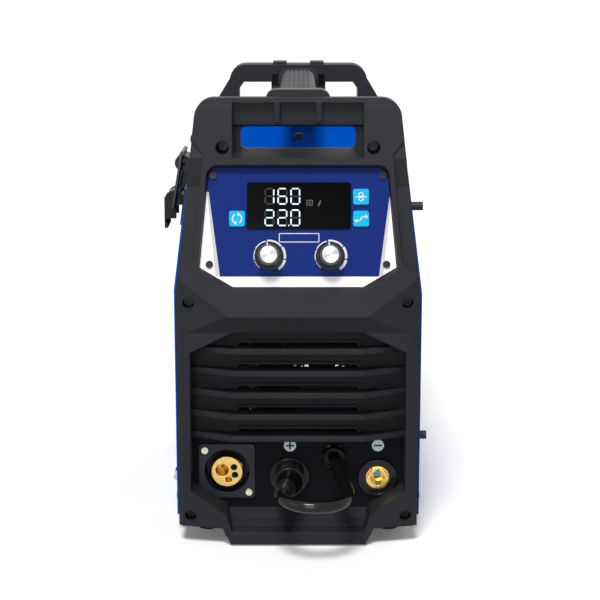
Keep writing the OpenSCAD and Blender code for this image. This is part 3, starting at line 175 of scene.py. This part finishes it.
def makeFinish(name, facts):
    material = bpy.data.materials.new(name)
    material.use_nodes = True
    tree = material.node_tree
    shader = tree.nodes["Principled BSDF"]
    shader.inputs["Metallic"].default_value = facts.get("metal", 0.0)
    shader.inputs["Specular IOR Level"].default_value = facts.get("specular", 0.5)
    place = addNode(tree, "ShaderNodeTexCoord").outputs["Object"]
    stretched = {"Vector": place, "Scale": facts.get("stretch", (1, 1, 1))}
    along = addNode(tree, "ShaderNodeMapping", stretched).outputs[0]
    drift = addNoise(tree, place, surface["drift"], surface["driftDetail"])
    grain = addNoise(tree, along, facts["grain"], surface["grainDetail"])
    mixed = addNode(tree, "ShaderNodeMix", {0: surface["grainShare"], 2: drift, 3: grain}).outputs[0]
    tone = remap(tree, mixed, 0.0, 1.0)
    colour = blendColour(tree, tone, solid(facts["colour"]), solid(facts["shade"]))
    tree.links.new(colour, shader.inputs["Base Color"])
    tree.links.new(remap(tree, grain, *facts["rough"]), shader.inputs["Roughness"])
    relief = addNode(tree, "ShaderNodeBump", {"Strength": facts["relief"], "Distance": surface["depth"],
                                              "Height": grain})
    if "edge" in facts:
        rounded = addNode(tree, "ShaderNodeBevel", {"Radius": facts["edge"]}, samples=4)
        tree.links.new(rounded.outputs[0], relief.inputs["Normal"])
    tree.links.new(relief.outputs[0], shader.inputs["Normal"])
    return material


made = {name: makeFinish(name, facts) for name, facts in finishes.items()}
print("made", len(made), "finishes")


# the panel leans back; s runs up its slope in millimetres from a line on the front plane, x across it
panelLean = 16
panelStart = (0, -0.227, 0.215)
# zero is the height of that line on the face of the plate, climb the height gained per millimetre of s
panelPrint = {
    "blue": (0.006, 0.024, 0.18), "deep": (0.0048, 0.02, 0.155), "white": (0.97, 0.97, 0.98),
    "band": (0.6, 0.58, 0.59), "bandWidth": 5.0, "bandTaper": -0.03, "zero": 212.88, "climb": 0.9613,
    "top": 114.0, "bottom": 37.6, "wide": 81.6, "narrow": 71.2, "middle": 1.3,
}


def makePanelPrint(facts):
    material = makeFinish("panelPrint", {"colour": facts["deep"], "shade": facts["blue"],
                                         "rough": (0.36, 0.46), "specular": 0.06, "grain": 900, "relief": 0.06})
    tree = material.node_tree
    shader = tree.nodes["Principled BSDF"]
    blue = shader.inputs["Base Color"].links[0].from_socket
    place = addNode(tree, "ShaderNodeTexCoord").outputs["Object"]
    axes = addNode(tree, "ShaderNodeSeparateXYZ", {0: place}).outputs
    across = compute(tree, "SUBTRACT", compute(tree, "MULTIPLY", axes[0], 1000.0), facts["middle"])
    side = compute(tree, "ABSOLUTE", across)
    up = compute(tree, "SUBTRACT", compute(tree, "MULTIPLY", axes[2], 1000.0), facts["zero"])
    rise = compute(tree, "DIVIDE", up, facts["climb"])
    slope = (facts["wide"] - facts["narrow"]) / (facts["top"] - facts["bottom"])
    reach = facts["narrow"] - facts["bottom"] * slope
    edge = compute(tree, "ADD", compute(tree, "MULTIPLY", rise, slope), reach)
    past = compute(tree, "SUBTRACT", side, edge)  # how far outside the slanting edge
    taper = compute(tree, "MULTIPLY", rise, facts["bandTaper"])
    onBand = compute(tree, "LESS_THAN", past, compute(tree, "ADD", taper, facts["bandWidth"]))
    border = blendColour(tree, onBand, solid(facts["white"]), solid(facts["band"]))
    low = compute(tree, "LESS_THAN", rise, facts["bottom"])
    border = blendColour(tree, low, border, solid(facts["white"]))
    within = compute(tree, "LESS_THAN", past, 0.0)
    within = compute(tree, "MULTIPLY", within, compute(tree, "GREATER_THAN", rise, facts["bottom"]))
    inBlue = compute(tree, "MAXIMUM", within, compute(tree, "GREATER_THAN", rise, facts["top"]))
    tree.links.new(blendColour(tree, inBlue, border, blue), shader.inputs["Base Color"])
    return material


# painted reflection: two bright fans of reflected light painted into the colour, and fine turned rings; phase
# turns the fans, flatten fits them to the leaning face
turnedCap = {
    "tones": ((0.2, 0.205, 0.215), (0.62, 0.62, 0.625)), "metal": 0.9, "brushed": 0.6,
    "spokes": 2, "phase": 0.9, "flatten": 0.96, "rings": 9000, "ringShare": 0.12,
    "rough": (0.24, 0.34), "relief": 0.06, "depth": 0.0001,
}


def makeTurnedCap(name, centre, axis, facts):
    material = bpy.data.materials.new(name)
    material.use_nodes = True
    tree = material.node_tree
    shader = tree.nodes["Principled BSDF"]
    shader.inputs["Metallic"].default_value = facts["metal"]
    shader.inputs["Anisotropic"].default_value = facts["brushed"]
    place = addNode(tree, "ShaderNodeTexCoord").outputs["Object"]
    offset = vectorMath(tree, "SUBTRACT", place, centre).outputs[0]
    around = vectorMath(tree, "CROSS_PRODUCT", axis, offset).outputs[0]
    around = vectorMath(tree, "NORMALIZE", around).outputs[0]
    tree.links.new(around, shader.inputs["Tangent"])
    parts = addNode(tree, "ShaderNodeSeparateXYZ", {0: around}).outputs
    angle = compute(tree, "ARCTAN2", compute(tree, "DIVIDE", parts[2], facts["flatten"]), parts[0])
    turned = compute(tree, "ADD", compute(tree, "MULTIPLY", angle, facts["spokes"]), facts["phase"])
    # painted reflection: the bright fans a spun cap reflects, painted into its colour
    paintedSheen = compute(tree, "SINE", turned)
    distance = vectorMath(tree, "LENGTH", offset).outputs["Value"]
    ring = compute(tree, "SINE", compute(tree, "MULTIPLY", distance, facts["rings"]))
    sheenAndRings = compute(tree, "ADD", paintedSheen, compute(tree, "MULTIPLY", ring, facts["ringShare"]))
    tone = remap(tree, sheenAndRings, 0.0, 1.0, -1.1, 1.1)
    # the colour carries the painted reflection fans and the turned rings
    colour = blendColour(tree, tone, *(solid(colour) for colour in facts["tones"]))
    tree.links.new(colour, shader.inputs["Base Color"])
    tree.links.new(remap(tree, ring, *facts["rough"], -1.0, 1.0), shader.inputs["Roughness"])
    bump = addNode(tree, "ShaderNodeBump", {"Strength": facts["relief"], "Distance": facts["depth"],
                                            "Height": ring})
    tree.links.new(bump.outputs[0], shader.inputs["Normal"])
    return material


def printInk(name, colour, glow=0.0):
    material = makeFinish(name, {"colour": colour, "shade": tuple(0.9 * c for c in colour),
                                 "rough": (0.4, 0.5), "specular": 0.3, "grain": 1200, "relief": 0.05})
    shader = material.node_tree.nodes["Principled BSDF"]
    shader.inputs["Emission Color"].default_value = solid(colour)
    shader.inputs["Emission Strength"].default_value = glow
    return material


made["panelPrint"] = makePanelPrint(panelPrint)
slopeOut = Vector((0, -math.cos(math.radians(panelLean)), math.sin(math.radians(panelLean))))
for cap in ("knob_cap_left", "knob_cap_right"):
    low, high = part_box(cap)
    made[cap] = makeTurnedCap(cap + "Metal", (Vector(low) + Vector(high)) / 2, slopeOut, turnedCap)

inks = {  # colour, then glow
    "whiteInk": ((0.75, 0.76, 0.78), 0.0),
    "paleBlueInk": ((0.72, 0.9, 0.96), 0.0),
    "darkInk": ((0.006, 0.008, 0.014), 0.0),
    "litSegment": ((0.62, 0.78, 0.92), 0.35),
    "dimSegment": ((0.012, 0.007, 0.003), 0.0),
    "faintMark": ((0.1, 0.11, 0.15), 0.1),
}
for name, (colour, glow) in inks.items():
    made[name] = printInk(name, colour, glow)

wears = {node: name for name, facts in finishes.items() for node in facts["on"]}
wears["panel_plate"] = "panelPrint"
wears.update({cap: cap for cap in ("knob_cap_left", "knob_cap_right")})
for name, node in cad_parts.items():
    node.data.materials.clear()
    node.data.materials.append(made[wears[name]])
print("finished the pieces of the frame")


# the lead that joins the gland to the plug, along its middle line
polarityLead = {
    "diameter": 0.0115,
    "length": 0.1689,
    "route": [
        (0.0334, -0.183, 0.076), (0.0334, -0.191, 0.076), (0.0334, -0.198, 0.076),
        (0.034, -0.205, 0.0745), (0.0355, -0.212, 0.0718), (0.0375, -0.219, 0.0689),
        (0.0397, -0.226, 0.0661), (0.042, -0.233, 0.0635), (0.0438, -0.24, 0.0614),
        (0.0448, -0.247, 0.0597), (0.0446, -0.254, 0.0585), (0.0433, -0.2608, 0.0577),
        (0.0404, -0.2672, 0.0572), (0.0361, -0.2728, 0.057), (0.0306, -0.2772, 0.057),
        (0.0241, -0.2802, 0.0573), (0.0173, -0.2818, 0.0576), (0.0103, -0.282, 0.0579),
        (0.0039, -0.2809, 0.0581), (-0.002, -0.2782, 0.0584), (-0.0072, -0.2742, 0.0587),
        (-0.0113, -0.2691, 0.0589), (-0.0139, -0.2634, 0.0588), (-0.01466, -0.2575, 0.05847),
        (-0.01387, -0.25155, 0.05816),
    ],
}


def makeLead(facts):
    curve = bpy.data.curves.new("polarityLeadRun", "CURVE")
    curve.dimensions = "3D"
    curve.bevel_depth = facts["diameter"] / 2
    curve.bevel_resolution = 8
    curve.resolution_u = 6
    curve.use_fill_caps = True
    line = curve.splines.new("BEZIER")
    line.bezier_points.add(len(facts["route"]) - 1)
    for knot, point in zip(line.bezier_points, facts["route"]):
        knot.co = point
        knot.handle_left_type = knot.handle_right_type = "AUTO"
    lead = bpy.data.objects.new("polarityLeadRun", curve)
    scene.collection.objects.link(lead)
    curve.materials.append(made["leadRubber"])
    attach(lead, "case")
    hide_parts("polarity_lead")


makeLead(polarityLead)
print("laid the polarity lead")


# flat marks are drawn in millimetres on a plane, then set on the face that carries them
millimetres = Matrix.Scale(0.001, 4)


def slopeFace(depth):
    lean = Matrix.Rotation(math.radians(90 - panelLean), 4, "X")
    return Matrix.Translation(panelStart) @ lean @ millimetres @ Matrix.Translation((0, 0, -depth))


def uprightFace(y):
    return Matrix.Translation((0, y, 0)) @ Matrix.Rotation(math.radians(90), 4, "X") @ millimetres


def flatBar(mesh, centre, size, turn=0.0, corner=0.3, top=0.1, base=-0.1):
    verts = bmesh.ops.create_cube(mesh, size=1)["verts"]
    upright = [edge for edge in {e for v in verts for e in v.link_edges}
               if abs(edge.verts[0].co.z - edge.verts[1].co.z) > 0.5]
    bmesh.ops.scale(mesh, verts=verts, vec=(size[0], size[1], top - base))
    rounded = bmesh.ops.bevel(mesh, geom=upright, offset=corner, affect="EDGES", segments=3, profile=0.5,
                              material=-1)
    verts = list({v for v in verts if v.is_valid} | set(rounded["verts"]))
    bmesh.ops.rotate(mesh, verts=verts, matrix=Matrix.Rotation(math.radians(turn), 3, "Z"))
    bmesh.ops.translate(mesh, verts=verts, vec=(centre[0], centre[1], (top + base) / 2))


def flatDisc(mesh, centre, radius, sides, turn=0.0, top=0.1, base=-0.1):
    verts = bmesh.ops.create_cone(mesh, cap_ends=True, segments=sides, radius1=radius, radius2=radius,
                                  depth=top - base)["verts"]
    bmesh.ops.rotate(mesh, verts=verts, matrix=Matrix.Rotation(math.radians(turn), 3, "Z"))
    bmesh.ops.translate(mesh, verts=verts, vec=(centre[0], centre[1], (top + base) / 2))


def flatArc(mesh, centre, radius, width, start, sweep, top=0.1, base=-0.1):
    middle = Vector((*centre, 0))
    along = Vector((math.cos(math.radians(start)), math.sin(math.radians(start)), 0))
    ends = [mesh.verts.new(middle + along * r + Vector((0, 0, z)))
            for r, z in ((radius, base), (radius + width, base), (radius + width, top), (radius, top))]
    face = mesh.faces.new(ends)
    shape = [*face.edges, *face.verts]
    whole = abs(sweep) > 359
    if whole:
        bmesh.ops.delete(mesh, geom=[face], context="FACES_ONLY")
    else:
        shape.append(face)
    bmesh.ops.spin(mesh, geom=shape, cent=middle, axis=(0, 0, 1), angle=math.radians(sweep),
                   steps=max(3, int(abs(sweep) / 5)), use_merge=whole)


def placeMarks(name, mesh, where, material, body):
    bmesh.ops.transform(mesh, matrix=where, verts=mesh.verts)
    bmesh.ops.remove_doubles(mesh, verts=mesh.verts, dist=1e-7)
    bmesh.ops.recalc_face_normals(mesh, faces=mesh.faces)
    data = bpy.data.meshes.new(name)
    mesh.to_mesh(data)
    mesh.free()
    data.materials.append(made[material])
    piece = bpy.data.objects.new(name, data)
    scene.collection.objects.link(piece)
    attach(piece, body)


readout = {
    "rows": [("160", 109.9), ("22.0", 90.5)], "firstX": -25.6, "pitch": 11.6, "width": 8.9, "height": 15.1,
    "bar": 1.25, "corner": 0.42, "dot": 0.52, "gap": 1.5, "face": 6.5, "top": 0.06,
}
segmentsOf = {"0": "abcdef", "1": "bc", "2": "abged", "6": "acdefg"}


def makeReadout(facts):
    w, h, bar = facts["width"], facts["height"], facts["bar"]
    across, up = w - bar, (h - bar) / 2
    spots = {"a": (0, up, 0), "g": (0, 0, 0), "d": (0, -up, 0), "b": (across / 2, up / 2, 90),
             "c": (across / 2, -up / 2, 90), "e": (-across / 2, -up / 2, 90), "f": (-across / 2, up / 2, 90)}
    lit, dim = bmesh.new(), bmesh.new()
    for text, middle in facts["rows"]:
        x = facts["firstX"] - facts["pitch"]
        for sign in text:
            if sign == ".":
                dot = (x + facts["pitch"] / 2, middle - up)
                flatDisc(lit, dot, bar * facts["dot"], 24, top=facts["top"])
                continue
            x += facts["pitch"]
            for key, (dx, dy, turn) in spots.items():
                length = (up if turn else across) - facts["gap"]
                flatBar(lit if key in segmentsOf[sign] else dim, (x + dx, middle + dy), (length, bar), turn,
                        bar * facts["corner"], facts["top"])
    face = slopeFace(facts["face"])
    placeMarks("litDigits", lit, face, "litSegment", "case")
    placeMarks("darkSegments", dim, face, "dimSegment", "case")


# each bar: where its middle is from the middle of the sign, its size and its turn
lensMarks = {
    "face": 6.5, "top": 0.05,
    "box": {"at": (10.5, 104.0), "corner": 0.15,
            "bars": [(0, 2.3, (5.6, 0.5), 0), (0, -2.3, (5.6, 0.5), 0), (2.6, 0, (0.5, 4.4), 0),
                     (-2.6, 0, (0.5, 4.4), 0), (0, -0.9, (3.6, 0.5), 0), (0, 0.7, (2.2, 0.5), 0)]},
    "bolt": {"at": (19.2, 103.6), "corner": 0.25,
             "bars": [(0.5, 1.2, (3.0, 0.9), 62), (-0.3, -1.4, (3.0, 0.9), 62), (0.1, 0, (2.4, 0.8), 8)]},
}


def makeLensMarks(facts):
    mesh = bmesh.new()
    for mark in (facts["box"], facts["bolt"]):
        x, s = mark["at"]
        for dx, dy, size, turn in mark["bars"]:
            flatBar(mesh, (x + dx, s + dy), size, turn, mark["corner"], facts["top"])
    placeMarks("lensMarks", mesh, slopeFace(facts["face"]), "faintMark", "case")


# each arc: the angle it starts at, its sweep and its width
dialScale = {
    "centres": (-26.0, 28.9), "s": 56.1, "radius": 13.2, "face": 7.7, "top": 0.06,
    "arcs": [(231, -31, 0.5), (195, -40, 0.7), (151, -48, 1.0), (97, -58, 1.6), (35, -44, 2.2),
             (-14, -40, 2.5)],
}
nameFrame = {"centre": (1.0, 72.6), "size": (35.6, 7.6), "line": 0.7, "corner": 0.15, "top": 0.06}


def makePanelMarks(dial, plate):
    mesh = bmesh.new()
    for x in dial["centres"]:
        for start, sweep, width in dial["arcs"]:
            flatArc(mesh, (x, dial["s"]), dial["radius"], width, start, sweep, dial["top"])
    x, s = plate["centre"]
    w, h = plate["size"]
    for dx, dy, size in ((0, h / 2, (w, plate["line"])), (0, -h / 2, (w, plate["line"])),
                         (w / 2, 0, (plate["line"], h)), (-w / 2, 0, (plate["line"], h))):
        flatBar(mesh, (x + dx, s + dy), size, corner=plate["corner"], top=plate["top"])
    placeMarks("panelMarks", mesh, slopeFace(dial["face"]), "whiteInk", "case")


keyFace = 5.7  # how deep the faces of the keys lie under the slope
arrowHead = 2.1
processSign = {"at": (-54.7, 89.6), "radius": 3.6, "line": 1.1, "starts": (-62, 118), "sweep": 122,
               "arrows": ((68, 150), (248, 330)), "arrowReach": 4.1}
feedSign = {"at": (56.6, 109.4), "rolls": (2.0, -2.0), "radius": 1.3, "line": 0.85, "wire": (9.8, 0.9),
            "top": 0.12}
triggerSign = {"at": (56.6, 89.6), "arrows": ((-4.4, -1.9, 180), (4.4, 1.9, 0)),
               "bars": [(-2.5, -1.9, (4.0, 1.1), 0), (0.0, 0.0, (5.0, 1.1), 54), (2.5, 1.9, (4.0, 1.1), 0)]}


def makeKeySigns(process, feed, trigger):
    face = slopeFace(keyFace)
    mesh = bmesh.new()
    for start in process["starts"]:
        flatArc(mesh, process["at"], process["radius"], process["line"], start, process["sweep"])
    for angle, turn in process["arrows"]:
        away = Vector((math.cos(math.radians(angle)), math.sin(math.radians(angle))))
        flatDisc(mesh, away * process["arrowReach"] + Vector(process["at"]), arrowHead, 3, turn)
    placeMarks("processSign", mesh, face, "whiteInk", "button_process")
    mesh = bmesh.new()
    x, s = feed["at"]
    for dy in feed["rolls"]:
        flatArc(mesh, (x, s + dy), feed["radius"], feed["line"], 0, 360)
    flatBar(mesh, (x, s), feed["wire"], top=feed["top"])
    placeMarks("feedSign", mesh, face, "whiteInk", "button_wire_feed")
    mesh = bmesh.new()
    x, s = trigger["at"]
    for dx, dy, size, turn in trigger["bars"]:
        flatBar(mesh, (x + dx, s + dy), size, turn)
    for dx, dy, turn in trigger["arrows"]:
        flatDisc(mesh, (x + dx, s + dy), arrowHead, 3, turn)
    placeMarks("triggerSign", mesh, face, "whiteInk", "button_trigger_mode")


knobPointers = {"at": {"knob_left": -26.0, "knob_right": 28.9}, "s": 56.1, "reach": 9.35, "lean": 8,
                "size": (1.0, 2.9), "corner": 0.3, "face": -9.7, "top": 0.08, "base": -1.2}


def makeKnobPointers(facts):
    angle = math.radians(90 + facts["lean"])
    for body, x in facts["at"].items():
        mesh = bmesh.new()
        spot = (x + facts["reach"] * math.cos(angle), facts["s"] + facts["reach"] * math.sin(angle))
        flatBar(mesh, spot, facts["size"], facts["lean"], facts["corner"], facts["top"], facts["base"])
        placeMarks(body + "Pointer", mesh, slopeFace(facts["face"]), "whiteInk", body)


polarityMarks = {"plus": (-7.5, 84.9), "minus": (74.3, 85.0), "radius": 5.6, "line": 1.7, "long": 7.6,
                 "corner": 0.2, "face": -0.189, "discTop": 0.15, "signTop": 0.24, "crossTop": 0.25}


def makePolarityMarks(facts):
    plane = uprightFace(facts["face"])
    bar = (facts["long"], facts["line"])
    discs, signs = bmesh.new(), bmesh.new()
    for name in ("plus", "minus"):
        flatDisc(discs, facts[name], facts["radius"], 56, top=facts["discTop"])
        flatBar(signs, facts[name], bar, 0, facts["corner"], facts["signTop"])
    flatBar(signs, facts["plus"], bar, 90, facts["corner"], facts["crossTop"])
    placeMarks("polarityDiscs", discs, plane, "paleBlueInk", "case")
    placeMarks("polaritySigns", signs, plane, "darkInk", "case")


makeReadout(readout)
makeLensMarks(lensMarks)
makePanelMarks(dialScale, nameFrame)
makeKeySigns(processSign, feedSign, triggerSign)
makeKnobPointers(knobPointers)
makePolarityMarks(polarityMarks)
print("drew the marks")


studio = {
    "floor": {"size": 60, "colour": (0.96, 0.96, 0.96), "underneath": (0.3, 0.3, 0.3), "rough": 0.9,
              "glow": 0.06},
    "world": 0.2,
    "lamps": [  # where each shines from, how strong, how wide in degrees
        ("keyLamp", (-0.1, -0.62, 1.0), 2.75, 18),
        ("sideLamp", (-1.0, -0.75, 0.5), 0.3, 30),
        ("frontLamp", (-0.1, -1.0, 0.2), 0.85, 24),
        ("backLamp", (0.6, 1.0, 0.5), 0.8, 30),
    ],
}


def seenDirectly(tree):
    rays = addNode(tree, "ShaderNodeLightPath").outputs
    seen = compute(tree, "MAXIMUM", rays["Is Camera Ray"], rays["Is Glossy Ray"])
    return compute(tree, "MAXIMUM", seen, rays["Is Transmission Ray"])


def makeFloor(facts):
    floor = bpy.data.objects.new("paleFloor", bpy.data.meshes.new("paleFloor"))
    mesh = bmesh.new()
    bmesh.ops.create_grid(mesh, x_segments=2, y_segments=2, size=facts["size"])
    mesh.to_mesh(floor.data)
    mesh.free()
    scene.collection.objects.link(floor)
    material = bpy.data.materials.new("floorPaper")
    material.use_nodes = True
    tree = material.node_tree
    paper = tree.nodes["Principled BSDF"]
    seen = seenDirectly(tree)
    tone = blendColour(tree, seen, solid(facts["underneath"]), solid(facts["colour"]))
    tree.links.new(tone, paper.inputs["Base Color"])
    paper.inputs["Roughness"].default_value = facts["rough"]
    paper.inputs["Specular IOR Level"].default_value = 0.0
    paper.inputs["Emission Color"].default_value = (1, 1, 1, 1)
    glow = compute(tree, "MULTIPLY", seen, facts["glow"])
    tree.links.new(glow, paper.inputs["Emission Strength"])
    floor.data.materials.append(material)


def makeWorld(unseen):
    world = bpy.data.worlds.new("whiteRoom")
    world.use_nodes = True
    tree = world.node_tree
    level = compute(tree, "MULTIPLY", seenDirectly(tree), 1.0 - unseen)
    level = compute(tree, "ADD", level, unseen)
    tree.links.new(level, tree.nodes["Background"].inputs["Strength"])
    tree.nodes["Background"].inputs["Color"].default_value = (1, 1, 1, 1)
    scene.world = world


def makeLamps(lamps):
    for name, source, strength, width in lamps:
        data = bpy.data.lights.new(name, "SUN")
        data.energy = strength
        data.angle = math.radians(width)
        lamp = bpy.data.objects.new(name, data)
        lamp.location = source
        lamp.rotation_euler = (-Vector(source)).to_track_quat("-Z", "Y").to_euler()
        scene.collection.objects.link(lamp)


makeFloor(studio["floor"])
makeWorld(studio["world"])
makeLamps(studio["lamps"])
print("set the floor and lamps")
